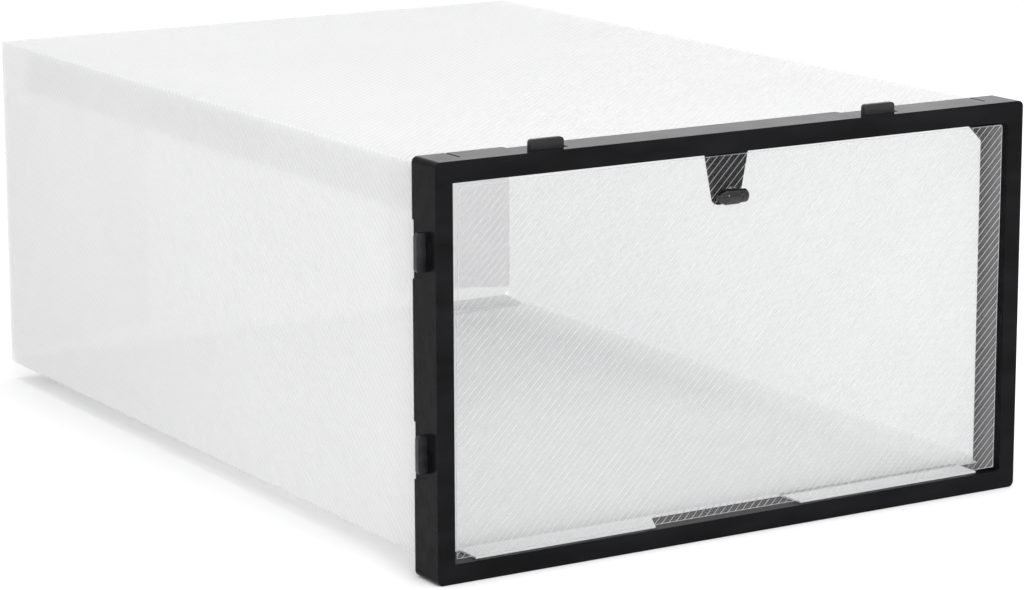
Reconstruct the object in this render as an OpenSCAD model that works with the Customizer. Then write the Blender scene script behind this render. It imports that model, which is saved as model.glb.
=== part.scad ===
// Drop-front shoe box: a moulded front frame on a folded ribbed plastic sheet,
// with a clear drop-down door, a turning pull and four push-in stacking clips.
// Origin: middle of the frame's underside. +X right, +Y to the rear, +Z up.

/* [Overall size] */
// Width across the front frame
box_w = 230; // [210:1:280]
// Height of the front frame
box_h = 135; // [130:1:180]
// Depth from the frame's front face to the back panel's outer face
box_d = 335; // [240:1:400]

/* [Front frame] */
// Depth of the frame, front to rear
frame_d = 14.5; // [14:0.5:18]
// Width of each side bar, seen from the front
bar_side = 6.3; // [6:0.1:8]
// Height of the top bar, seen from the front
bar_top = 6.9; // [6.8:0.1:8]
// Height of the bottom bar, seen from the front
bar_bottom = 6.4; // [6.2:0.1:8]
// Outer corner radius of the frame
corner_r = 2; // [1:0.5:3]
// Thickness of the frame's front plate
face_t = 1.8; // [1.4:0.1:2.2]
// Thickness of the outer wall
outer_t = 1.1; // [1:0.1:1.2]
// Thickness of the inner wall, round the opening
inner_t = 1.2; // [1:0.1:1.4]

/* [Sheet body] */
// Thickness of the folded sheet
sheet_t = 0.6; // [0.5:0.1:0.8]
// How far the top panel lies below the frame's top
top_inset = 2.2; // [1.8:0.1:3.4]
// How deep the side and top panels reach into the frame
panel_grip = 4; // [3:0.5:4.5]
// Length of the two dust flaps at the rear
dust_flap_l = 58; // [40:1:75]
// Length of the tuck flap on the back panel
tuck_flap_l = 20; // [15:1:25]
// Width of the seam flap inside the left panel
seam_flap_w = 15; // [10:1:18]

/* [Door] */
// Gap between the door and the opening, at each side
door_side_gap = 1.5; // [1:0.1:2.5]
// Gap between the door's top edge and the top bar
door_top_gap = 0.9; // [0.6:0.1:2]
// How far the door lies behind the frame's front face
door_recess = 1.5; // [1.2:0.1:1.6]
// Chamfer on the door's top corners
door_chamfer = 2; // [1:0.5:4]

/* [Latch] */
// Distance of the latch from the middle of the box
latch_x = -4.2; // [-8:0.1:8]
// Height of the pull's stem below the frame's top
latch_drop = 21; // [20:0.5:24]
// Length of the pull's bar
pull_l = 11.5; // [10.5:0.5:15]
// Largest radius of the pull's bar
pull_r = 2.6; // [2.4:0.1:3]
// Radius of the stem where it turns in the door
stem_r = 1.95; // [1.8:0.05:2.2]
// Width of the frame's tongue at its root
tongue_top_w = 16.5; // [14:0.5:20]
// Width of the tongue at its lower end
tongue_low_w = 9.6; // [9:0.1:12]

/* [Stacking clips] */
// Length of a clip's head along the frame
clip_l = 12.5; // [11:0.5:14]
// Thickness of a clip's head, front to rear
clip_t = 2.2; // [1.8:0.1:3]
// Height of a clip's head above the frame
clip_h = 3.3; // [3:0.1:4]
// Distance of the top clips behind the frame's front face
top_clip_back = 4; // [3:0.5:5]
// Distance of the side clips behind the frame's front face
side_clip_back = 6; // [3:0.5:6.5]
// Distance of the left top clip from the middle
clip_top_left_x = -72; // [-78:1:-60]
// Distance of the right top clip from the middle
clip_top_right_x = 57.5; // [45:0.5:70]
// Height of the lower side clip
clip_low_z = 41.5; // [34:0.5:48]
// Height of the upper side clip
clip_high_z = 106; // [95:0.5:108]

/* [Hidden] */
$fn = 48;

black = [0.11, 0.11, 0.12];
clear_sheet = [0.93, 0.93, 0.94, 0.55];
door_sheet = [0.95, 0.95, 0.96, 0.35];
tiny = 0.01;

// Frame planes
front_y = -frame_d / 2;
rear_y = frame_d / 2;
open_x = box_w / 2 - bar_side;
open_low = bar_bottom;
open_high = box_h - bar_top;

// Sheet body: outer faces of the panels
side_x = box_w / 2 - outer_t - 0.05;
low_z = bar_bottom;
high_z = box_h - top_inset;
back_y = front_y + box_d;
grip_y = rear_y - panel_grip;
slot_play = 0.25;
fold_gap = 0.9;
flap_play = 0.3;
slip_play = 0.1;
back_half = side_x - sheet_t - flap_play;
back_low_z = low_z + sheet_t + flap_play;

// Floor of the body that runs on through the opening to the door's crease
tongue_x = open_x - 8.7;
cutout_front = [-32, 26];
cutout_rear = [-27, 25];
cutout_y = front_y + 12.5;
crease_gap = 0.3;
crease_y = front_y + door_recess + sheet_t / 2;
crease_z = low_z + sheet_t;

// Latch
latch_z = box_h - latch_drop;
stem_gap = 0.05;
collar_r = 2.9;
collar_t = 0.6;
door_rear_y = front_y + door_recess + sheet_t;
collar_y = door_rear_y + slip_play;
tongue_y = collar_y + collar_t + 0.15;
tongue_t = 2;
tongue_low_z = latch_z - 3.2;
tongue_play = 0.2;
pin_r = 1.1;
gusset = 8.4;

// Clips: the head stands in a recess of the wall, the foot fills a socket in its floor
top_clip_y = front_y + top_clip_back;
side_clip_y = front_y + side_clip_back;
top_clips_x = [clip_top_left_x, clip_top_right_x];
side_clips_z = [clip_low_z, clip_high_z];
clip_round = 1.2;
foot_l = 9;
foot_t = 1.6;
foot_h = 4;
foot_back = (clip_t - foot_t) / 2;
head_play = 0.3;

// Recess round a clip, open to the rear, flaring by these amounts at its two ends
recess_t = 0.5;
recess_half = 7.8;
top_flare = [3.1, 0];
side_flare = [1.6, 2];
relief_t = 0.45;
relief_l = 2;

// Stiffening webs inside the frame's channel
web_t = 1.2;
web_d = 10;
web_end = 15;
top_webs = [web_end - box_w / 2, -48, -22, 22, 82, box_w / 2 - web_end];
low_webs = [web_end - box_w / 2, -48, 0, 22, 82, box_w / 2 - web_end];
side_webs = [web_end + 3, 61, 82, box_h - web_end];
slit_w = 0.8;
slit_x = box_w / 2 - 12;
slit_front = 5.5;

// Rectangle with its corner at the origin and true arcs at its corners
module round_rect(w, h, r) {
    translate([r, 0]) square([w - 2 * r, h]);
    translate([0, r]) square([w, h - 2 * r]);
    for (x = [r, w - r], y = [r, h - r]) translate([x, y]) circle(r);
}

// Stands a drawing in the XZ plane, from y to y + depth
module upright(y, depth) {
    translate([0, y + depth, 0]) rotate([90, 0, 0]) linear_extrude(depth) children();
}

// Box given by its lowest and highest corners
module span(low, high) {
    translate(low) cube(high - low);
}

// Moves a shape made at the origin, with +Z outward, to each place on the top or left wall.
// The shape's +X points to the frame's top left corner.
module on_top(x) {
    translate([x, 0, box_h]) mirror([1, 0, 0]) children();
}
module on_left(z) {
    translate([-box_w / 2, 0, z]) rotate([0, -90, 0]) children();
}
module on_right(z) {
    translate([box_w / 2, 0, z]) rotate([0, 90, 0]) mirror([1, 0, 0]) children();
}
module on_bottom(x) {
    translate([x, 0, 0]) rotate([180, 0, 0]) mirror([0, 1, 0]) children();
}

// Ring of the frame between an outer and an inner rectangle, from y to y + depth
module ring(y, depth, grow) {
    upright(y, depth) difference() {
        translate([-box_w / 2 + grow, grow])
            round_rect(box_w - 2 * grow, box_h - 2 * grow, corner_r);
        translate([-open_x, open_low]) square([2 * open_x, open_high - open_low]);
    }
}

// Channel that is open to the rear, between the outer and the inner wall
module channel() {
    upright(front_y + face_t, frame_d) difference() {
        translate([-box_w / 2 + outer_t, outer_t])
            square([box_w - 2 * outer_t, box_h - 2 * outer_t]);
        translate([-open_x - inner_t, open_low - inner_t])
            square([2 * (open_x + inner_t), open_high - open_low + 2 * inner_t]);
    }
}

module webs() {
    y = front_y + face_t - tiny;
    for (x = top_webs)
        span([x - web_t / 2, y, open_high], [x + web_t / 2, y + web_d, box_h - tiny]);
    for (x = low_webs)
        span([x - web_t / 2, y, tiny], [x + web_t / 2, y + web_d, open_low]);
    for (z = side_webs, side = [-1, 1])
        translate([side * (box_w / 2 - bar_side / 2), y, z - web_t / 2])
            translate([-bar_side / 2 + tiny, 0, 0]) cube([bar_side - 2 * tiny, web_d, web_t]);
}

// Slot in the webs that takes the front edges of the side and top panels
module panel_slot() {
    upright(grip_y - slip_play, frame_d) difference() {
        translate([-box_w / 2 + outer_t, low_z - slot_play])
            square([box_w - 2 * outer_t, high_z - low_z + 2 * slot_play]);
        translate([-side_x + sheet_t + slot_play, low_z - 2 * slot_play])
            square([2 * (side_x - sheet_t - slot_play), high_z - low_z - sheet_t + slot_play]);
    }
}

// Tongue that hangs behind the door and takes the stud in its bore
module latch_tongue() {
    root = open_high + inner_t;
    chamfer = 1;
    upright(tongue_y, tongue_t) difference() {
        polygon([
            [latch_x - tongue_top_w / 2, root],
            [latch_x + tongue_top_w / 2, root],
            [latch_x + tongue_low_w / 2, tongue_low_z + chamfer],
            [latch_x + tongue_low_w / 2 - chamfer, tongue_low_z],
            [latch_x - tongue_low_w / 2 + chamfer, tongue_low_z],
            [latch_x - tongue_low_w / 2, tongue_low_z + chamfer]
        ]);
        translate([latch_x, latch_z]) circle(stem_r + tongue_play);
    }
}

// Triangular gussets in the opening's two top corners, at the rear
module gussets() {
    for (side = [-1, 1])
        upright(rear_y - 1.6, 1.6) polygon([
            [side * (open_x + tiny), open_high + tiny],
            [side * (open_x - gusset), open_high + tiny],
            [side * (open_x + tiny), open_high - gusset]
        ]);
}

// Socket that a clip's foot fills, for a head whose front face lies at y
module foot_socket(y) {
    translate([-foot_l / 2 - slip_play, y + foot_back - slip_play, -outer_t - 0.2])
        cube([foot_l + 2 * slip_play, foot_t + 2 * slip_play, outer_t + 1]);
}

// Shallow recess behind a clip, with a relief slit through the wall at each front corner
module clip_recess(y, flare) {
    translate([0, 0, -recess_t]) linear_extrude(recess_t + 1) polygon([
        [-recess_half, y], [recess_half, y],
        [recess_half + flare[0], rear_y + 1], [-recess_half - flare[1], rear_y + 1]
    ]);
    for (side = [0, 1]) mirror([side, 0, 0])
        translate([recess_half - relief_l, y, -outer_t - 0.2])
            cube([relief_l, relief_t, outer_t + 1]);
}

// Socket for the head of a neighbouring box's clip
module head_socket(y) {
    translate([-clip_l / 2 - head_play, y - head_play, -clip_h - head_play])
        cube([clip_l + 2 * head_play, clip_t + 2 * head_play, clip_h + 1]);
}

module front_frame() {
    color(black) difference() {
        union() {
            difference() {
                ring(front_y, frame_d, 0);
                channel();
            }
            webs();
            latch_tongue();
            gussets();
        }
        panel_slot();
        for (x = top_clips_x) {
            on_top(x) { foot_socket(top_clip_y); clip_recess(top_clip_y, top_flare); }
            on_bottom(x) head_socket(top_clip_y);
        }
        for (z = side_clips_z) {
            on_left(z) { foot_socket(side_clip_y); clip_recess(side_clip_y, side_flare); }
            on_right(z) head_socket(side_clip_y);
        }
        for (side = [-1, 1])
            translate([side * slit_x - slit_w / 2, front_y + slit_front, box_h - outer_t - 0.2])
                cube([slit_w, frame_d, 2]);
    }
}

module top_panel() {
    color(clear_sheet)
        span([-side_x + sheet_t, grip_y, high_z - sheet_t], [side_x - sheet_t, back_y, high_z]);
}

// Bottom panel. Two tongues run on over the frame's floor to the door's crease, with
// a slanted cut-out between them and a notch beside each.
module bottom_panel() {
    tongue_front = crease_y + crease_gap;
    half = side_x - sheet_t;
    color(clear_sheet) translate([0, 0, low_z]) linear_extrude(sheet_t) difference() {
        translate([-half, tongue_front]) square([2 * half, back_y - tongue_front]);
        polygon([
            [cutout_front[0], tongue_front - 1], [cutout_front[1], tongue_front - 1],
            [cutout_rear[1], cutout_y], [cutout_rear[0], cutout_y]
        ]);
        for (side = [0, 1]) mirror([side, 0]) {
            translate([tongue_x, tongue_front - 1]) square([half, cutout_y - tongue_front + 1]);
            translate([open_x - slip_play, tongue_front - 1])
                square([half, rear_y + slip_play - tongue_front + 1]);
        }
    }
}

module left_panel() {
    color(clear_sheet) span([-side_x, grip_y, low_z], [-side_x + sheet_t, back_y, high_z]);
}

module right_panel() {
    color(clear_sheet) span([side_x - sheet_t, grip_y, low_z], [side_x, back_y, high_z]);
}

// Strip that folds down from the top panel and is welded to the left panel
module seam_flap() {
    color(clear_sheet)
        span([-side_x + sheet_t, rear_y + 3, high_z - sheet_t - seam_flap_w],
             [-side_x + 2 * sheet_t, back_y - tuck_flap_l - 4, high_z - sheet_t]);
}

// Flap that folds in from a side panel, just inside the back panel
module dust_flap(side) {
    near_x = side_x - sheet_t;
    far_x = near_x - dust_flap_l;
    flap_low = low_z + 5;
    flap_high = high_z - sheet_t - 1.5;
    taper = 5;
    color(clear_sheet) upright(back_y - 2 * sheet_t - flap_play, sheet_t) polygon([
        [side * near_x, flap_low], [side * near_x, flap_high],
        [side * far_x, flap_high - taper], [side * far_x, flap_low + taper]
    ]);
}
module left_dust_flap() { dust_flap(-1); }
module right_dust_flap() { dust_flap(1); }

// Back panel, hinged at its top edge on the crease below the top panel
module back_panel() {
    color(clear_sheet)
        span([-back_half, back_y - sheet_t, back_low_z + sheet_t / 2 + fold_gap],
             [back_half, back_y, high_z - sheet_t - flap_play]);
}

// Flap along the back panel's lower edge, tucked in above the bottom panel
module tuck_flap() {
    near_y = back_y - sheet_t / 2 - fold_gap;
    far_y = back_y - tuck_flap_l;
    taper = 4;
    color(clear_sheet) translate([0, 0, back_low_z]) linear_extrude(sheet_t) polygon([
        [-back_half + 1, near_y], [back_half - 1, near_y],
        [back_half - 1 - taper, far_y], [-back_half + 1 + taper, far_y]
    ]);
}

// Door: ribbed clear sheet with chamfered top corners and the stem's bore
module door_panel() {
    half = open_x - door_side_gap;
    low = crease_z + sheet_t / 2 + crease_gap;
    high = open_high - door_top_gap;
    color(door_sheet) upright(front_y + door_recess, sheet_t) difference() {
        polygon([
            [-half, low], [half, low], [half, high - door_chamfer],
            [half - door_chamfer, high], [-half + door_chamfer, high],
            [-half, high - door_chamfer]
        ]);
        translate([latch_x, latch_z]) circle(stem_r + stem_gap);
    }
}

// Pull: a turned bar across the door's face with a stem through the door.
// The bar's profile runs along its own axis from its nose to its tail.
module pull_bar() {
    nose = -pull_l / 2 - 1;
    tail = nose + pull_l;
    bar_y = front_y + door_recess - 0.2 - pull_r;
    shoulder = nose + 3.2;
    groove = tail - 3.4;
    tail_r = pull_r - 0.35;
    color(black) {
        translate([latch_x, bar_y, latch_z]) rotate([0, 90, 0]) rotate_extrude() polygon([
            [0, nose], [0.9, nose], [1.3, nose + 0.4], [pull_r, shoulder],
            [pull_r, groove], [tail_r - 0.3, groove + 0.15], [tail_r - 0.3, groove + 0.45],
            [tail_r, groove + 0.6], [tail_r, tail - 1], [tail_r - 0.35, tail - 0.3],
            [tail_r - 1, tail], [0, tail]
        ]);
        translate([latch_x, bar_y, latch_z]) rotate([-90, 0, 0])
            cylinder(r = stem_r, h = collar_y - bar_y);
        translate([latch_x, bar_y, latch_z]) rotate([-90, 0, 0])
            cylinder(r = pin_r, h = tongue_y + tongue_t - bar_y);
    }
}

// Stud pressed on the stem's pin behind the door: its collar keeps the stem in the
// door and its plug enters the tongue's bore
module pull_stud() {
    plug_y = tongue_y + tongue_t + 0.5;
    color(black) translate([latch_x, collar_y, latch_z]) rotate([-90, 0, 0]) difference() {
        rotate_extrude() polygon([
            [0, 0], [collar_r, 0], [collar_r, collar_t], [stem_r, collar_t],
            [stem_r, plug_y - collar_y - 0.6], [stem_r - 0.6, plug_y - collar_y],
            [0, plug_y - collar_y]
        ]);
        translate([0, 0, -tiny])
            cylinder(r = pin_r, h = tongue_y + tongue_t - collar_y + tiny);
    }
}

// Stacking clip: a rounded plate whose front face lies at y, and a foot in the wall's socket
module clip(y) {
    head_h = clip_h + recess_t;
    color(black) {
        translate([-clip_l / 2, y + clip_t, -recess_t]) rotate([90, 0, 0])
            linear_extrude(clip_t - slip_play) {
                round_rect(clip_l, head_h, clip_round);
                square([clip_l, head_h - clip_round]);
            }
        translate([-foot_l / 2, y + foot_back, -foot_h])
            cube([foot_l, foot_t, foot_h - recess_t + tiny]);
    }
}
module clip_top_left() { on_top(clip_top_left_x) clip(top_clip_y); }
module clip_top_right() { on_top(clip_top_right_x) clip(top_clip_y); }
module clip_side_upper() { on_left(clip_high_z) clip(side_clip_y); }
module clip_side_lower() { on_left(clip_low_z) clip(side_clip_y); }

front_frame();
top_panel();
bottom_panel();
left_panel();
right_panel();
seam_flap();
left_dust_flap();
right_dust_flap();
back_panel();
tuck_flap();
door_panel();
pull_bar();
pull_stud();
clip_top_left();
clip_top_right();
clip_side_upper();
clip_side_lower();
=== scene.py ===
import math

import bmesh
import bpy
from mathutils import Matrix, Vector, noise


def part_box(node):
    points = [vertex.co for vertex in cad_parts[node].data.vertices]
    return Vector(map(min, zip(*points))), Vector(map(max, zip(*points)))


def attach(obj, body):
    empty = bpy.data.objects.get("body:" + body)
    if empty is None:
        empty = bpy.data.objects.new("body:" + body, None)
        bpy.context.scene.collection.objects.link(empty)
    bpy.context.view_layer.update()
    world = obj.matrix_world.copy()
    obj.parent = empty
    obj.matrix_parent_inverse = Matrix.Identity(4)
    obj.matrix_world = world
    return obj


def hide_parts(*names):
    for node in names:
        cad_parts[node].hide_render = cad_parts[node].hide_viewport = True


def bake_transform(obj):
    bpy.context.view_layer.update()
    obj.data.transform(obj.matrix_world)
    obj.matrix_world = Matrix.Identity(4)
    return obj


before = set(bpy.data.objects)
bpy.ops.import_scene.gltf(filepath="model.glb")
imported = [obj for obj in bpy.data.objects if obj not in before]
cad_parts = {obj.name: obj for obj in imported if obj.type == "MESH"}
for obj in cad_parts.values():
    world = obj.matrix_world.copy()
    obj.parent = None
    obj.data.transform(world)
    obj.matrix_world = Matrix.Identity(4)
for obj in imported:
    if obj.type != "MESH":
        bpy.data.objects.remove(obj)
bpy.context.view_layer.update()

# Shoe box: ribbed plastic sheet folded into a sleeve, a black moulded front frame with a
# clear drop-down door, a turning pull and four stacking clips.
# Lengths are in millimetres until MM turns them into metres.
MM = 0.001


# ---------------------------------------------------------------- sizes from the frame

def span(node):
    """Lowest and highest corner of a CAD node, in millimetres."""
    low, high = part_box(node)
    return low / MM, high / MM


frame_low, frame_high = span("front_frame")
top_low, top_high = span("top_panel")
bottom_low = span("bottom_panel")[0]
left_low = span("left_panel")[0]
seam_low, seam_high = span("seam_flap")
door_low, door_high = span("door_panel")
back_low, back_high = span("back_panel")
tuck_low, tuck_high = span("tuck_flap")
bar_low, bar_high = span("pull_bar")
stud_low, stud_high = span("pull_stud")

SHEET = top_high.z - top_low.z
HALF_W = -left_low.x
FLOOR_Z = bottom_low.z
ROOF_Z = top_high.z
GRIP_Y = top_low.y
BACK_Y = top_high.y
REAR_Y = frame_high.y
CREASE_R = 1.1

# Floor tongues that run on through the frame to the door's crease
TONGUE_Y = bottom_low.y
TONGUE_X = 100.0
CUTOUT_FRONT = (-32.0, 26.0)
CUTOUT_REAR = (-27.0, 25.0)
CUTOUT_Y = frame_low.y + 12.5
NOTCH_X = 108.6
NOTCH_Y = REAR_Y + 0.1

# Ribs of the sheet, at 45 degrees on every panel
RIB_PITCH = 2.9
BODY_RIB = (0.3, 0.07)
DOOR_RIB = (0.16, 0.05)
RIM = 0.3

# Latch
STEM_X = (stud_low.x + stud_high.x) / 2
STEM_Z = (stud_low.z + stud_high.z) / 2
BORE_R = 2.0
STEM_R = 1.95
COLLAR_R = 2.9


# ---------------------------------------------------------------- ribbed sheet

def cut(outline, a, b, c):
    """The two parts of a convex outline on each side of the line a*u + b*v = c."""
    below, above = [], []
    for i, p in enumerate(outline):
        q = outline[(i + 1) % len(outline)]
        dp = a * p[0] + b * p[1] - c
        dq = a * q[0] + b * q[1] - c
        if dp <= 1e-9:
            below.append(p)
        if dp >= -1e-9:
            above.append(p)
        if (dp < -1e-9 and dq > 1e-9) or (dp > 1e-9 and dq < -1e-9):
            t = dp / (dp - dq)
            m = (p[0] + t * (q[0] - p[0]), p[1] + t * (q[1] - p[1]))
            below.append(m)
            above.append(m)
    return below, above


def slices(outlines, a, b, levels):
    """Convex outlines cut along the parallel lines a*u + b*v = level."""
    parts = []
    for outline in outlines:
        reach = [a * u + b * v for u, v in outline]
        rest = outline
        for c in levels:
            if c <= min(reach) + 1e-6 or c >= max(reach) - 1e-6:
                continue
            below, rest = cut(rest, a, b, c)
            if len(below) > 2:
                parts.append(below)
        if len(rest) > 2:
            parts.append(rest)
    return parts


def steps(low, high, gap):
    """Evenly spaced values from low to high, about gap apart."""
    count = max(1, round((high - low) / gap))
    return [low + (high - low) * i / count for i in range(count + 1)]


def ribbed_sheet(name, outlines, place, rib_sign=1, u_lines=(), v_lines=(), rib=BODY_RIB,
                 thickness=SHEET, painted_sheen=None, painted_edge_glow=0.0):
    """Closed sheet with raised ribs on its outer face.

    The outlines are convex and lie in the flat sheet; place(u, v, h) folds a point of the
    flat sheet into space, h above the outer face. Ribs run along u + rib_sign * v = constant,
    rib giving their half width and height, or None for a plain sheet. The sheen mask function
    gives from 0 to 1 how much milkier the sheet is drawn at (u, v), a painted sheen, and the
    edge glow value is how much its edge is drawn like a rib, a painted highlight of light
    along the cut edge.
    """
    parts = slices(outlines, 1, 0, sorted(u_lines))
    parts = slices(parts, 0, 1, sorted(v_lines))
    if rib:
        reach = [u + rib_sign * v for outline in outlines for u, v in outline]
        first = math.floor(min(reach) / RIB_PITCH)
        last = math.ceil(max(reach) / RIB_PITCH)
        half = rib[0] * math.sqrt(2)
        levels = []
        for k in range(first, last + 1):
            levels += [k * RIB_PITCH - half, k * RIB_PITCH, k * RIB_PITCH + half]
        parts = slices(parts, 1, rib_sign, levels)

    found = {}
    flat = []
    faces = []
    for part in parts:
        face = []
        for u, v in part:
            key = (round(u, 4), round(v, 4))
            if key not in found:
                found[key] = len(flat)
                flat.append((u, v))
            if not face or face[-1] != found[key]:
                face.append(found[key])
        if face[0] == face[-1]:
            face.pop()
        if len(face) > 2:
            faces.append(face)

    ridge = []
    for u, v in flat:
        off = abs((u + rib_sign * v) / RIB_PITCH - round((u + rib_sign * v) / RIB_PITCH)) * RIB_PITCH
        ridge.append(1.0 if rib and off < 0.02 else 0.0)
    outer = [place(u, v, rib[1] * r if rib else 0) for (u, v), r in zip(flat, ridge)]
    inner = [place(u, v, -thickness) for u, v in flat]
    n = len(flat)
    uses = {}
    for face in faces:
        for i, a in enumerate(face):
            b = face[(i + 1) % len(face)]
            uses[(a, b)] = uses.get((a, b), 0) + 1
    rim = [(b, a, a + n, b + n) for (a, b) in uses if (b, a) not in uses]
    edge = {a for a, b, c, d in rim} | {b for a, b, c, d in rim}
    # Painted edge glow: edge points are drawn like a rib, a painted highlight of light along the cut
    # edge.
    lines = [max(r, painted_edge_glow if i in edge else 0.0) for i, r in enumerate(ridge)]
    # Painted sheen: how much milkier the sheet is drawn at each point, standing in for reflected light.
    painted_sheen_values = [painted_sheen(u, v) if painted_sheen else 0.0 for u, v in flat]
    under = [[i + n for i in reversed(face)] for face in faces]

    mesh = bpy.data.meshes.new(name)
    mesh.from_pydata([p * MM for p in outer + inner], [], faces + under + rim)
    # The rib values, with the painted edge glow, and the painted sheen mask are stored on the mesh.
    for label, values in (("rib", lines + [0.0] * n), ("painted_sheen", painted_sheen_values + painted_sheen_values)):
        mesh.attributes.new(label, "FLOAT", "POINT").data.foreach_set("value", values)
    mesh.validate()
    work = bmesh.new()
    work.from_mesh(mesh)
    bmesh.ops.recalc_face_normals(work, faces=work.faces)
    work.to_mesh(mesh)
    work.free()
    mesh.shade_smooth()
    mesh.set_sharp_from_angle(angle=math.radians(12))
    piece = bpy.data.objects.new(name, mesh)
    bpy.context.scene.collection.objects.link(piece)
    return piece


def bulge(t):
    """0 at both ends of 0..1 and 1 in the middle."""
    return math.sin(math.pi * min(max(t, 0.0), 1.0))


def ease(t):
    """Smooth step from 0 to 1 over 0..1."""
    t = min(max(t, 0.0), 1.0)
    return t * t * (3 - 2 * t)


# ---------------------------------------------------------------- folded sleeve

# The sleeve's section is followed down the left panel, across the bottom, up the right
# panel, back across the top and down the seam flap inside the left panel.
ARC = math.pi / 2 * CREASE_R
HEIGHT = ROOF_Z - FLOOR_Z
SIDES = [HEIGHT - CREASE_R, 2 * (HALF_W - CREASE_R), HEIGHT - 2 * CREASE_R,
         2 * (HALF_W - CREASE_R) - SHEET, ROOF_Z - CREASE_R - seam_low.z]
LEFT_END = SIDES[0]
BOTTOM_START = LEFT_END + ARC
BOTTOM_END = BOTTOM_START + SIDES[1]
RIGHT_START = BOTTOM_END + ARC
RIGHT_END = RIGHT_START + SIDES[2]
TOP_START = RIGHT_END + ARC
TOP_END = TOP_START + SIDES[3]
SEAM_START = TOP_END + ARC
SEAM_END = SEAM_START + SIDES[4]

TOP_SAG = 1.1
SIDE_BOW = 0.7


def section(u):
    """Point and outward normal of the sleeve's section, u along it."""
    x, z, dx, dz = -HALF_W, ROOF_Z, 0, -1
    for length in SIDES:
        run = min(u, length)
        x, z, u = x + dx * run, z + dz * run, u - run
        nx, nz = dz, -dx
        if u <= 1e-9:
            break
        turn = min(u / CREASE_R, math.pi / 2)
        mx, mz = nx * math.cos(turn) + dx * math.sin(turn), nz * math.cos(turn) + dz * math.sin(turn)
        x, z = x + (mx - nx) * CREASE_R, z + (mz - nz) * CREASE_R
        nx, nz, u = mx, mz, u - turn * CREASE_R
        if u <= 1e-9:
            break
        dx, dz = -dz, dx
    return x, z, nx, nz


def slack(x, y, z):
    """How the thin panels give: the top sags and the sides bow a little between the creases."""
    along = bulge((y - REAR_Y) / (BACK_Y - REAR_Y)) ** 0.7
    wave = 0.35 * noise.noise(Vector((x / 90, y / 110, z / 60)))
    across = bulge((x + HALF_W) / (2 * HALF_W))
    up = bulge((z - FLOOR_Z) / (ROOF_Z - FLOOR_Z))
    if z > ROOF_Z - 0.02:
        return Vector((0, 0, -(TOP_SAG + wave) * across * along))
    if abs(x) > HALF_W - SHEET - 0.02 and z > FLOOR_Z + 0.02:
        return Vector((math.copysign(SIDE_BOW + wave, x) * up * along, 0, 0))
    return Vector((0, 0, 0))


def fold_sleeve(u, v, h):
    x, z, nx, nz = section(u)
    return Vector((x + nx * h, v, z + nz * h)) + slack(x, v, z)


def bottom_u(x):
    return BOTTOM_START + x + HALF_W - CREASE_R


def box_outline(u0, v0, u1, v1):
    return [(u0, v0), (u1, v0), (u1, v1), (u0, v1)]


def make_sleeve():
    outlines = [
        box_outline(0, GRIP_Y, LEFT_END, BACK_Y),
        box_outline(LEFT_END, NOTCH_Y, bottom_u(-NOTCH_X), BACK_Y),
        box_outline(bottom_u(-NOTCH_X), CUTOUT_Y, bottom_u(NOTCH_X), BACK_Y),
        box_outline(bottom_u(NOTCH_X), NOTCH_Y, RIGHT_START, BACK_Y),
        box_outline(RIGHT_START, GRIP_Y, SEAM_START, BACK_Y),
        box_outline(SEAM_START, seam_low.y, SEAM_END, seam_high.y),
    ]
    for k, end in enumerate((-TONGUE_X, TONGUE_X)):
        edge = [(end, TONGUE_Y), (CUTOUT_FRONT[k], TONGUE_Y), (CUTOUT_REAR[k], CUTOUT_Y), (end, CUTOUT_Y)]
        outlines.append([(bottom_u(x), y) for x, y in edge])
    u_lines = []
    for start in (LEFT_END, BOTTOM_END, RIGHT_END, TOP_END):
        u_lines += steps(start, start + ARC, ARC / 5)
    u_lines += steps(0, LEFT_END, 24) + steps(RIGHT_START, RIGHT_END, 24)
    u_lines += steps(TOP_START, TOP_END, 24)
    for x in (-NOTCH_X, NOTCH_X, -TONGUE_X, TONGUE_X, *CUTOUT_REAR):
        u_lines.append(bottom_u(x))
    v_lines = [GRIP_Y, CUTOUT_Y, NOTCH_Y, seam_low.y, seam_high.y] + steps(REAR_Y + 5, BACK_Y, 30)

    def painted_sheen(u, v):
        """Drawn milkier where the frame holds the sheet: a painted reflection of the bright studio."""
        return 1.0 if v < REAR_Y - 0.5 else 0.0

    return ribbed_sheet("body_sleeve", outlines, fold_sleeve, 1, u_lines, v_lines, painted_sheen=painted_sheen)


# ---------------------------------------------------------------- flaps, back panel, door

def corner_arc(cx, cz, r, start, count=6):
    """Points of a quarter circle from the angle start, in degrees, anticlockwise."""
    angles = [math.radians(start + 90 * i / count) for i in range(count + 1)]
    return [(cx + r * math.cos(a), cz + r * math.sin(a)) for a in angles]


def make_dust_flap(side, name, node):
    low, high = span(node)
    near, far = (low.x, high.x) if side < 0 else (high.x, low.x)
    taper = 5.0
    outline = [(near, low.z), (near, high.z), (far, high.z - taper), (far, low.z + taper)]

    def place(u, v, h):
        curl = 0.6 * ease(abs(u - near) / abs(far - near))
        return Vector((u, high.y + h - curl, v))

    return ribbed_sheet(name, [outline], place, -1, steps(low.x, high.x, 12), steps(low.z, high.z, 20))


def make_back_panel():
    r = 1.5
    x, z0, z1 = back_high.x, back_low.z, back_high.z
    outline = corner_arc(-x + r, z0 + r, r, 180) + corner_arc(x - r, z0 + r, r, 270)
    outline += corner_arc(x - r, z1 - r, r, 0) + corner_arc(-x + r, z1 - r, r, 90)
    u_lines = steps(-x, x, 20)
    v_lines = steps(z0, z1, 15)

    def place(u, v, h):
        return Vector((u, back_high.y + h, v))

    return ribbed_sheet("back_sheet", [outline], place, 1, u_lines, v_lines)


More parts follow.
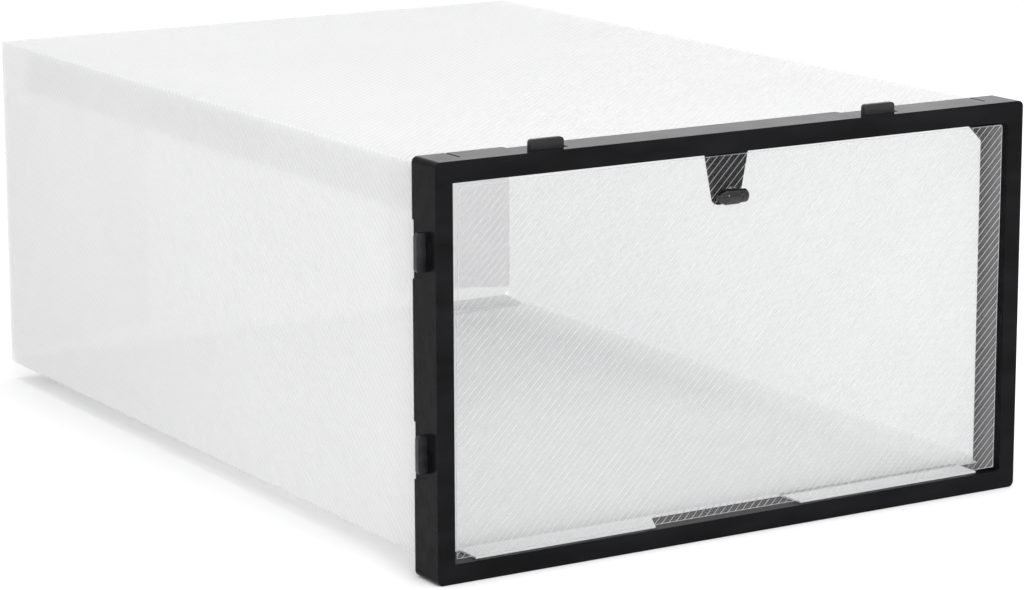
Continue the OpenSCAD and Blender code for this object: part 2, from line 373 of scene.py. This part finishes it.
def make_tuck_flap():
    taper = 4.0
    x = tuck_high.x
    outline = [(-x, tuck_high.y), (x, tuck_high.y), (x - taper, tuck_low.y), (taper - x, tuck_low.y)]

    def place(u, v, h):
        return Vector((u, v, tuck_low.z - h))

    return ribbed_sheet("tuck_sheet", [outline], place, -1, steps(-x, x, 20), [])


DOOR_CORNER = 2.6
SHARP_CORNER = 0.8
DOOR_LEAN = 2.3


def door_lean(x, z):
    """How far the door's free corners stand forward of its plane."""
    left = ease((-x - 12) / 95) * ease((z - 45) / 80)
    right = ease((x - 30) / 80) * ease((z - 60) / 70)
    ripple = 0.12 * noise.noise(Vector((x / 40, 3.1, z / 40)))
    near_stem = ease(math.hypot(x - STEM_X, z - STEM_Z) / 30)
    return DOOR_LEAN * left + 0.3 * right + ripple * near_stem * ease((z - FLOOR_Z) / 20)


def make_door():
    x, z0, z1 = door_high.x, door_low.z, door_high.z
    r = DOOR_CORNER
    window = 3.0  # half width of the square that holds the bore
    x0, x1 = STEM_X - window, STEM_X + window
    h0, h1 = STEM_Z - window, STEM_Z + window
    left = [(-x, z0), (x0, z0), (x0, z1)] + corner_arc(-x + r, z1 - r, r, 90)
    r = SHARP_CORNER
    right = [(x1, z0), (x, z0)] + corner_arc(x - r, z1 - r, r, 0) + [(x1, z1)]
    outlines = [left, right, box_outline(x0, z0, x1, h0), box_outline(x0, h1, x1, z1)]
    corners = [(x1, h1), (x0, h1), (x0, h0), (x1, h0)]
    per_side = 10
    for k in range(4):
        a, b = corners[k], corners[(k + 1) % 4]
        arc = []
        for i in range(per_side + 1):
            t = math.radians(45 + 90 * (k + i / per_side))
            arc.append((STEM_X + BORE_R * math.cos(t), STEM_Z + BORE_R * math.sin(t)))
        middle = per_side // 2
        for i in range(per_side):
            outlines.append([a if i < middle else b, arc[i + 1], arc[i]])
        outlines.append([a, b, arc[middle]])
    u_lines = [x0, x1, RIM - x, x - RIM] + steps(-x, x, 9)
    v_lines = [h0, h1, z0 + RIM, z1 - RIM] + steps(z0, z1, 9)

    def place(u, v, h):
        return Vector((u, door_high.y - SHEET - h - door_lean(u, v), v))

    side_w = 14.0
    foot_h = 30.0

    # Painted reflection: the door is drawn milkier towards its right edge, standing in for a soft sheen
    # there, and a little hazier towards the bottom.
    def painted_sheen(u, v):
        return ease((u - x + side_w) / side_w) + 0.15 * ease((z0 + foot_h - v) / foot_h)

    # The door's edge gets a painted highlight of light glowing along its cut edge.
    return ribbed_sheet("door_sheet", outlines, place, -1, u_lines, v_lines, DOOR_RIB,
                        SHEET - 0.1, painted_sheen, painted_edge_glow=0.8)


def crease_strip(name, x0, x1, path, thickness=0.3):
    """Thin bridge of sheet along X whose outer face follows path(t) in the YZ plane, t from 0 to 1."""
    def place(u, v, h):
        y, z = path(u)
        y2, z2 = path(u + 0.01)
        along = Vector((0, y2 - y, z2 - z)).normalized()
        normal = along.cross(Vector((1, 0, 0)))
        return Vector((v, y, z)) + normal * h

    outline = [(0, x0), (1, x0), (1, x1), (0, x1)]
    return ribbed_sheet(name, [outline], place, 1, steps(0, 1, 0.1), steps(x0, x1, 20), None, thickness)


def door_crease_path(t):
    a = math.pi / 2 * t
    depth = door_high.y - door_low.y - 0.05
    height = door_low.z - FLOOR_Z - 0.05
    return TONGUE_Y - depth * math.sin(a), door_low.z - height * math.cos(a)


def back_crease_path(t):
    a = math.pi * (0.5 - t)
    return BACK_Y - 0.05 + 0.25 * math.cos(a), (ROOF_Z + back_high.z) / 2 + 0.45 * math.sin(a)


def tuck_crease_path(t):
    a = math.pi / 2 * t
    reach = back_low.z - tuck_low.z
    return back_high.y - reach * (1 - math.cos(a)), back_low.z - reach * math.sin(a)


# ---------------------------------------------------------------- mouldings

def refined_copy(node, name, width, segments, angle=30):
    """Copy of a CAD node with its faces merged and its edges rounded."""
    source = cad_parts[node]
    mesh = source.data.copy()
    mesh.name = name
    mesh.materials.clear()
    work = bmesh.new()
    work.from_mesh(mesh)
    bmesh.ops.remove_doubles(work, verts=work.verts, dist=1e-6)
    bmesh.ops.dissolve_limit(work, angle_limit=math.radians(0.5), verts=work.verts, edges=work.edges)
    work.to_mesh(mesh)
    work.free()
    piece = bpy.data.objects.new(name, mesh)
    bpy.context.scene.collection.objects.link(piece)
    bevel = piece.modifiers.new("edges", "BEVEL")
    bevel.width = width * MM
    bevel.segments = segments
    bevel.limit_method = "ANGLE"
    bevel.angle_limit = math.radians(angle)
    bevel.use_clamp_overlap = True
    bevel.miter_outer = "MITER_ARC"
    mesh.shade_smooth()
    even = piece.modifiers.new("flat_faces", "WEIGHTED_NORMAL")
    even.mode = "FACE_AREA"
    even.weight = 100
    return finished(piece)


def finished(piece):
    """The piece with its modifiers made part of its mesh."""
    bpy.context.view_layer.update()
    graph = bpy.context.evaluated_depsgraph_get()
    mesh = bpy.data.meshes.new_from_object(piece.evaluated_get(graph))
    mesh.name = piece.name
    piece.modifiers.clear()
    piece.data = mesh
    return piece


def turned(name, profile, origin, axis, segments=64):
    """Closed solid turned about an axis. The profile is (distance along the axis, radius)."""
    axis = Vector(axis)
    side = axis.orthogonal().normalized()
    other = axis.cross(side)
    points = []
    for s, r in profile:
        for i in range(segments):
            a = 2 * math.pi * i / segments
            points.append(Vector(origin) + axis * s + (side * math.cos(a) + other * math.sin(a)) * r)
    faces = []
    for k in range(len(profile) - 1):
        for i in range(segments):
            j = (i + 1) % segments
            ring, following = k * segments, (k + 1) * segments
            faces.append((ring + i, ring + j, following + j, following + i))
    faces.append(tuple(reversed(range(segments))))
    last = (len(profile) - 1) * segments
    faces.append(tuple(last + i for i in range(segments)))
    mesh = bpy.data.meshes.new(name)
    mesh.from_pydata([p * MM for p in points], [], faces)
    work = bmesh.new()
    work.from_mesh(mesh)
    bmesh.ops.recalc_face_normals(work, faces=work.faces)
    work.to_mesh(mesh)
    work.free()
    piece = bpy.data.objects.new(name, mesh)
    bpy.context.scene.collection.objects.link(piece)
    mesh.shade_smooth()
    mesh.set_sharp_from_angle(angle=math.radians(32))
    return piece


def rounded(points, radius, count=5):
    """A profile with its inner corners rounded by quadratic curves of about that radius."""
    out = [points[0]]
    for before, corner, after in zip(points, points[1:], points[2:]):
        p, c, q = Vector(before), Vector(corner), Vector(after)
        reach_in = min(radius, (p - c).length * 0.45)
        reach_out = min(radius, (q - c).length * 0.45)
        start = c + (p - c).normalized() * reach_in
        end = c + (q - c).normalized() * reach_out
        for i in range(count + 1):
            t = i / count
            out.append(tuple(start.lerp(c, t).lerp(c.lerp(end, t), t)))
    out.append(points[-1])
    return out


def make_pull():
    """T-shaped pull: a bar with a tapered nose, a groove and a thinner tail, on a stem."""
    r = (bar_high.z - bar_low.z) / 2
    length = bar_high.x - bar_low.x
    groove = length - 3.4
    tail_r = r - 0.35
    profile = rounded([
        (0, 0.05), (0, 0.85), (0.35, 1.25), (2.8, r - 0.05), (3.2, r), (groove - 0.2, r),
        (groove, tail_r - 0.3), (groove + 0.4, tail_r - 0.3), (groove + 0.5, tail_r),
        (length - 0.8, tail_r), (length, tail_r - 0.8), (length, 0.05)
    ], 0.2)
    middle_z = (bar_low.z + bar_high.z) / 2
    bar = turned("pull_grip", profile, (bar_low.x, bar_low.y + r, middle_z), (1, 0, 0))
    reach = stud_low.y - bar_low.y - r
    stem = rounded([(0, 0.05), (0, STEM_R), (reach, STEM_R), (reach, 0.05)], 0.15)
    neck = turned("pull_stem", stem, (STEM_X, bar_low.y + r, STEM_Z), (0, 1, 0), 48)
    return bar, neck


def make_stud():
    length = stud_high.y - stud_low.y
    profile = rounded([
        (0, 0.05), (0, COLLAR_R), (0.6, COLLAR_R), (0.6, STEM_R),
        (length - 0.6, STEM_R), (length, STEM_R - 0.6), (length, 0.05)
    ], 0.15)
    return turned("latch_stud", profile, (STEM_X, stud_low.y, STEM_Z), (0, 1, 0), 48)


# ---------------------------------------------------------------- materials

def new_material(name):
    material = bpy.data.materials.new(name)
    material.use_nodes = True
    nodes = material.node_tree.nodes
    nodes.clear()
    return material, nodes, material.node_tree.links


def add(nodes, kind, **values):
    """A node with some of its inputs set by name."""
    node = nodes.new(kind)
    for key, value in values.items():
        node.inputs[key].default_value = value
    return node


def noise_node(nodes, links, coords, scale, detail=3.0, stretch=None):
    texture = add(nodes, "ShaderNodeTexNoise", Scale=scale, Detail=detail)
    if stretch:
        mapping = add(nodes, "ShaderNodeMapping", Scale=stretch)
        links.new(coords, mapping.inputs["Vector"])
        coords = mapping.outputs["Vector"]
    links.new(coords, texture.inputs["Vector"])
    return texture.outputs["Fac"]


def ranged(nodes, links, value, low, high, start=0.3, end=0.7):
    node = add(nodes, "ShaderNodeMapRange")
    node.inputs["From Min"].default_value = start
    node.inputs["From Max"].default_value = end
    node.inputs["To Min"].default_value = low
    node.inputs["To Max"].default_value = high
    links.new(value, node.inputs["Value"])
    return node.outputs["Result"]


def blend_colours(nodes, links, fac, one, two):
    node = nodes.new("ShaderNodeMix")
    node.data_type = "RGBA"
    node.inputs["A"].default_value = one
    node.inputs["B"].default_value = two
    links.new(fac, node.inputs["Factor"])
    return next(s for s in node.outputs if s.type == "RGBA")


def black_plastic(name, dark, light, rough_low, rough_high, specular, grain, bump):
    """Moulded black plastic: fine spark-eroded grain, cloudy gloss and faint flow marks."""
    material, nodes, links = new_material(name)
    coords = nodes.new("ShaderNodeTexCoord").outputs["Object"]
    cloud = noise_node(nodes, links, coords, 60, 4)
    flow = noise_node(nodes, links, coords, 35, 3, (1.0, 6.0, 4.0))
    speck = noise_node(nodes, links, coords, grain, 2)
    shader = add(nodes, "ShaderNodeBsdfPrincipled")
    shader.inputs["Specular IOR Level"].default_value = specular
    colour = blend_colours(nodes, links, ranged(nodes, links, flow, 0, 1, 0.35, 0.7), dark, light)
    links.new(colour, shader.inputs["Base Color"])
    links.new(ranged(nodes, links, cloud, rough_low, rough_high), shader.inputs["Roughness"])
    relief = add(nodes, "ShaderNodeBump", Strength=bump, Distance=0.0001)
    links.new(speck, relief.inputs["Height"])
    links.new(relief.outputs["Normal"], shader.inputs["Normal"])
    output = nodes.new("ShaderNodeOutputMaterial")
    links.new(shader.outputs["BSDF"], output.inputs["Surface"])
    return material


def clear_sheet(name, tint, cool, haze, rib_haze, scatter, rough, ior, pass_through, painted_sheen_haze):
    """Polypropylene sheet: part clear, part milky, with denser ribs and a soft sheen.

    haze and rib_haze are how much one face hides between the ribs and on them, and
    pass_through is the light that the rest of the face lets by. scatter is the share of the
    milky part that is lit from behind. The sheen haze is the haze that the full sheen mask
    adds, a painted sheen, and the mask also cuts the share lit from behind.
    """
    material, nodes, links = new_material(name)
    coords = nodes.new("ShaderNodeTexCoord").outputs["Object"]
    cloud = noise_node(nodes, links, coords, 14, 3)
    fine = noise_node(nodes, links, coords, 900, 2)
    colour = blend_colours(nodes, links, ranged(nodes, links, cloud, 0, 1), tint, cool)
    front = add(nodes, "ShaderNodeBsdfPrincipled")
    front.inputs["Specular IOR Level"].default_value = 0.08
    links.new(colour, front.inputs["Base Color"])
    links.new(ranged(nodes, links, fine, rough - 0.05, rough + 0.08), front.inputs["Roughness"])
    relief = add(nodes, "ShaderNodeBump", Strength=0.15, Distance=0.00005)
    links.new(fine, relief.inputs["Height"])
    links.new(relief.outputs["Normal"], front.inputs["Normal"])
    through = nodes.new("ShaderNodeBsdfTranslucent")
    links.new(colour, through.inputs["Color"])
    # Painted sheen mask: where it is set the sheet is drawn milkier and less lit from behind, standing in
    # for reflected light.
    painted_sheen = nodes.new("ShaderNodeAttribute")
    painted_sheen.attribute_name = "painted_sheen"
    milk = nodes.new("ShaderNodeMixShader")
    least = scatter * (1 - 2 * painted_sheen_haze)
    lit_from_behind = ranged(nodes, links, painted_sheen.outputs["Fac"], scatter, least, 0.0, 1.0)
    links.new(lit_from_behind, milk.inputs["Fac"])
    links.new(front.outputs["BSDF"], milk.inputs[1])
    links.new(through.outputs["BSDF"], milk.inputs[2])
    passed = (pass_through, pass_through, pass_through, 1)
    clear = add(nodes, "ShaderNodeBsdfTransparent", Color=passed)
    rib = nodes.new("ShaderNodeAttribute")
    rib.attribute_name = "rib"
    cover = nodes.new("ShaderNodeMath")
    cover.operation = "ADD"
    cover.use_clamp = True
    links.new(ranged(nodes, links, rib.outputs["Fac"], haze, rib_haze, 0.0, 1.0), cover.inputs[0])
    links.new(ranged(nodes, links, painted_sheen.outputs["Fac"], 0.0, painted_sheen_haze, 0.0, 1.0), cover.inputs[1])
    sheet = nodes.new("ShaderNodeMixShader")
    links.new(cover.outputs["Value"], sheet.inputs["Fac"])
    links.new(clear.outputs["BSDF"], sheet.inputs[1])
    links.new(milk.outputs["Shader"], sheet.inputs[2])
    gloss = add(nodes, "ShaderNodeBsdfGlossy", Roughness=rough)
    shine = add(nodes, "ShaderNodeFresnel", IOR=ior)
    whole = nodes.new("ShaderNodeMixShader")
    links.new(shine.outputs["Fac"], whole.inputs["Fac"])
    links.new(sheet.outputs["Shader"], whole.inputs[1])
    links.new(gloss.outputs["BSDF"], whole.inputs[2])
    output = nodes.new("ShaderNodeOutputMaterial")
    links.new(whole.outputs["Shader"], output.inputs["Surface"])
    return material


def floor_paint():
    material, nodes, links = new_material("studio_floor")
    coords = nodes.new("ShaderNodeTexCoord").outputs["Object"]
    cloud = noise_node(nodes, links, coords, 2, 2)
    shader = add(nodes, "ShaderNodeBsdfPrincipled", Roughness=0.9)
    shader.inputs["Specular IOR Level"].default_value = 0.1
    colour = blend_colours(nodes, links, cloud, (0.93, 0.93, 0.93, 1), (0.95, 0.95, 0.95, 1))
    links.new(colour, shader.inputs["Base Color"])
    output = nodes.new("ShaderNodeOutputMaterial")
    links.new(shader.outputs["BSDF"], output.inputs["Surface"])
    return material


# ---------------------------------------------------------------- build

def settle(piece, body, material, slot, *nodes):
    """Gives a piece its material and puts it in the place of its CAD nodes. The slot is not used."""
    piece.data.materials.clear()
    piece.data.materials.append(material)
    if nodes:
        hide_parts(*nodes)
    if body:
        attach(piece, body)


frame_plastic = black_plastic(
    "frame_plastic", dark=(0.005, 0.005, 0.0055, 1), light=(0.009, 0.009, 0.01, 1),
    rough_low=0.12, rough_high=0.22, specular=0.035, grain=2600, bump=0.12)
clip_plastic = black_plastic(
    "clip_plastic", dark=(0.004, 0.004, 0.005, 1), light=(0.028, 0.028, 0.03, 1),
    rough_low=0.25, rough_high=0.5, specular=0.3, grain=1000, bump=0.9)
pull_plastic = black_plastic(
    "pull_plastic", dark=(0.002, 0.002, 0.0025, 1), light=(0.005, 0.005, 0.006, 1),
    rough_low=0.1, rough_high=0.18, specular=0.5, grain=2600, bump=0.1)
# The sheen haze values set how much milkier the painted sheen draws each sheet.
body_plastic = clear_sheet(
    "body_plastic", tint=(0.895, 0.895, 0.897, 1), cool=(0.88, 0.88, 0.885, 1), haze=0.6,
    rib_haze=0.73, scatter=0.5, rough=0.4, ior=1.02, pass_through=1.0, painted_sheen_haze=0.32)
door_plastic = clear_sheet(
    "door_plastic", tint=(0.68, 0.68, 0.685, 1), cool=(0.65, 0.65, 0.66, 1), haze=0.02,
    rib_haze=0.8, scatter=0.3, rough=0.2, ior=1.02, pass_through=0.98, painted_sheen_haze=0.1)

sleeve = make_sleeve()
settle(sleeve, "box", body_plastic, "body_sheet",
       "top_panel", "bottom_panel", "left_panel", "right_panel", "seam_flap")
for side, name in ((-1, "left_dust_flap"), (1, "right_dust_flap")):
    settle(make_dust_flap(side, name + "_sheet", name), "box", body_plastic, "body_sheet", name)
settle(make_back_panel(), "back", body_plastic, "body_sheet", "back_panel")
settle(make_tuck_flap(), "tuck", body_plastic, "body_sheet", "tuck_flap")
settle(make_door(), "door", door_plastic, "door_sheet", "door_panel")

for name, x0, x1 in (("door_crease_left", -TONGUE_X, CUTOUT_FRONT[0]),
                     ("door_crease_right", CUTOUT_FRONT[1], TONGUE_X)):
    strip = crease_strip(name, x0, x1, door_crease_path)
    settle(strip, None, door_plastic, "door_sheet")
    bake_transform(strip)

crease_end = HALF_W - 3
strip = crease_strip("back_crease", -crease_end, crease_end, back_crease_path)
settle(strip, None, body_plastic, "body_sheet")
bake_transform(strip)
strip = crease_strip("tuck_crease_strip", tuck_low.x, tuck_high.x, tuck_crease_path)
settle(strip, None, body_plastic, "body_sheet")
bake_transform(strip)

moulding = refined_copy("front_frame", "frame_moulding", 0.25, 3)
settle(moulding, "box", frame_plastic, "frame_black", "front_frame")
for node, body in (("clip_top_left", "top_left_clip"), ("clip_top_right", "top_right_clip"),
                   ("clip_side_upper", "upper_side_clip"), ("clip_side_lower", "lower_side_clip")):
    settle(refined_copy(node, node + "_moulding", 0.45, 4), body, clip_plastic, "clip_black", node)

bar, neck = make_pull()
settle(bar, "pull", pull_plastic, "pull_black", "pull_bar")
settle(neck, "pull", pull_plastic, "pull_black")
settle(make_stud(), "pull", pull_plastic, "pull_black", "pull_stud")


# ---------------------------------------------------------------- stage

FLOOR_SIZE = 9.0
floor_mesh = bpy.data.meshes.new("studio_floor")
half = FLOOR_SIZE / 2
floor_corners = [(-half, -half, 0), (half, -half, 0), (half, half, 0), (-half, half, 0)]
floor_mesh.from_pydata(floor_corners, [], [(0, 1, 2, 3)])
floor = bpy.data.objects.new("studio_floor", floor_mesh)
floor.location.z = -0.0001  # just clear of the box's underside
bpy.context.scene.collection.objects.link(floor)
floor_mesh.materials.append(floor_paint())

world = bpy.data.worlds.new("studio_air")
world.use_nodes = True
sky = world.node_tree.nodes["Background"]
sky.inputs["Color"].default_value = (1.0, 1.0, 1.0, 1)
sky.inputs["Strength"].default_value = 0.95
bpy.context.scene.world = world


def area_light(name, place, target, size, power):
    lamp = bpy.data.lights.new(name, "AREA")
    lamp.shape = "DISK"
    lamp.size = size
    lamp.energy = power
    thing = bpy.data.objects.new(name, lamp)
    thing.location = place
    thing.rotation_euler = (Vector(target) - Vector(place)).to_track_quat("-Z", "Y").to_euler()
    bpy.context.scene.collection.objects.link(thing)
    return thing


middle = (0, 0.16, 0.07)
area_light("overhead", (0.1, 0.3, 2.2), middle, 1.8, 10)
area_light("backdrop", (1.7, 2.9, 0.8), middle, 2.4, 6)
area_light("front_fill", (0.2, -2.1, 1.1), middle, 1.0, 30)
area_light("key", (-1.1, -1.7, 1.5), middle, 0.25, 5)

VIEW_AZIMUTH = math.radians(31.2)
VIEW_ELEVATION = math.radians(12.05)
VIEW_ROLL = math.radians(-0.2)
VIEW_PLACE = (-0.6529, -0.9407, 0.3236)
forward = Vector((math.sin(VIEW_AZIMUTH) * math.cos(VIEW_ELEVATION),
                  math.cos(VIEW_AZIMUTH) * math.cos(VIEW_ELEVATION), -math.sin(VIEW_ELEVATION)))
right = forward.cross(Vector((0, 0, 1))).normalized()
up = right.cross(forward)
rolled_right = right * math.cos(VIEW_ROLL) + up * math.sin(VIEW_ROLL)
rolled_up = up * math.cos(VIEW_ROLL) - right * math.sin(VIEW_ROLL)
lens = bpy.data.cameras.new("camera")
lens.lens = 125.6
lens.sensor_width = 36
camera = bpy.data.objects.new("camera", lens)
turn = Matrix((rolled_right, rolled_up, -forward)).transposed().to_4x4()
camera.matrix_world = Matrix.Translation(VIEW_PLACE) @ turn
bpy.context.scene.collection.objects.link(camera)
bpy.context.scene.camera = camera

bpy.context.scene.view_settings.view_transform = "Standard"
bpy.context.scene.cycles.transparent_max_bounces = 40
bpy.context.scene.cycles.diffuse_bounces = 12
